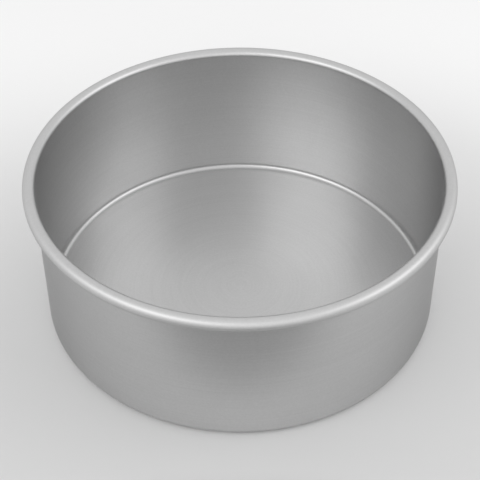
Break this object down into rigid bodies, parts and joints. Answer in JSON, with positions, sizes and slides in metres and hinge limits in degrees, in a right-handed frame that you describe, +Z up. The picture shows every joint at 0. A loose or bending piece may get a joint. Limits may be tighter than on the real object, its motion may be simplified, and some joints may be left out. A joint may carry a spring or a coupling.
{
  "type": "round cake tin",
  "caption": "Deep round cake tin spun from one aluminium sheet, with a straight wall, a fixed flat base and a rim rolled over a stiffening wire.",
  "frame": {"origin": "centre of the flat underside, on the tin's axis", "axes": "+Z up along the tin's axis; +X and +Y lie in the plane that the tin stands on, and the tin is the same all round"},
  "size_m": [0.2128, 0.2128, 0.082],
  "materials": {
    "anodised_aluminium": "satin, clear anodised",
    "rim_wire_steel": "drawn and galvanised"
  },
  "bodies": {
    "root": {"tin_shell": "anodised_aluminium", "rim_wire": "rim_wire_steel"}
  },
  "joints": []
}
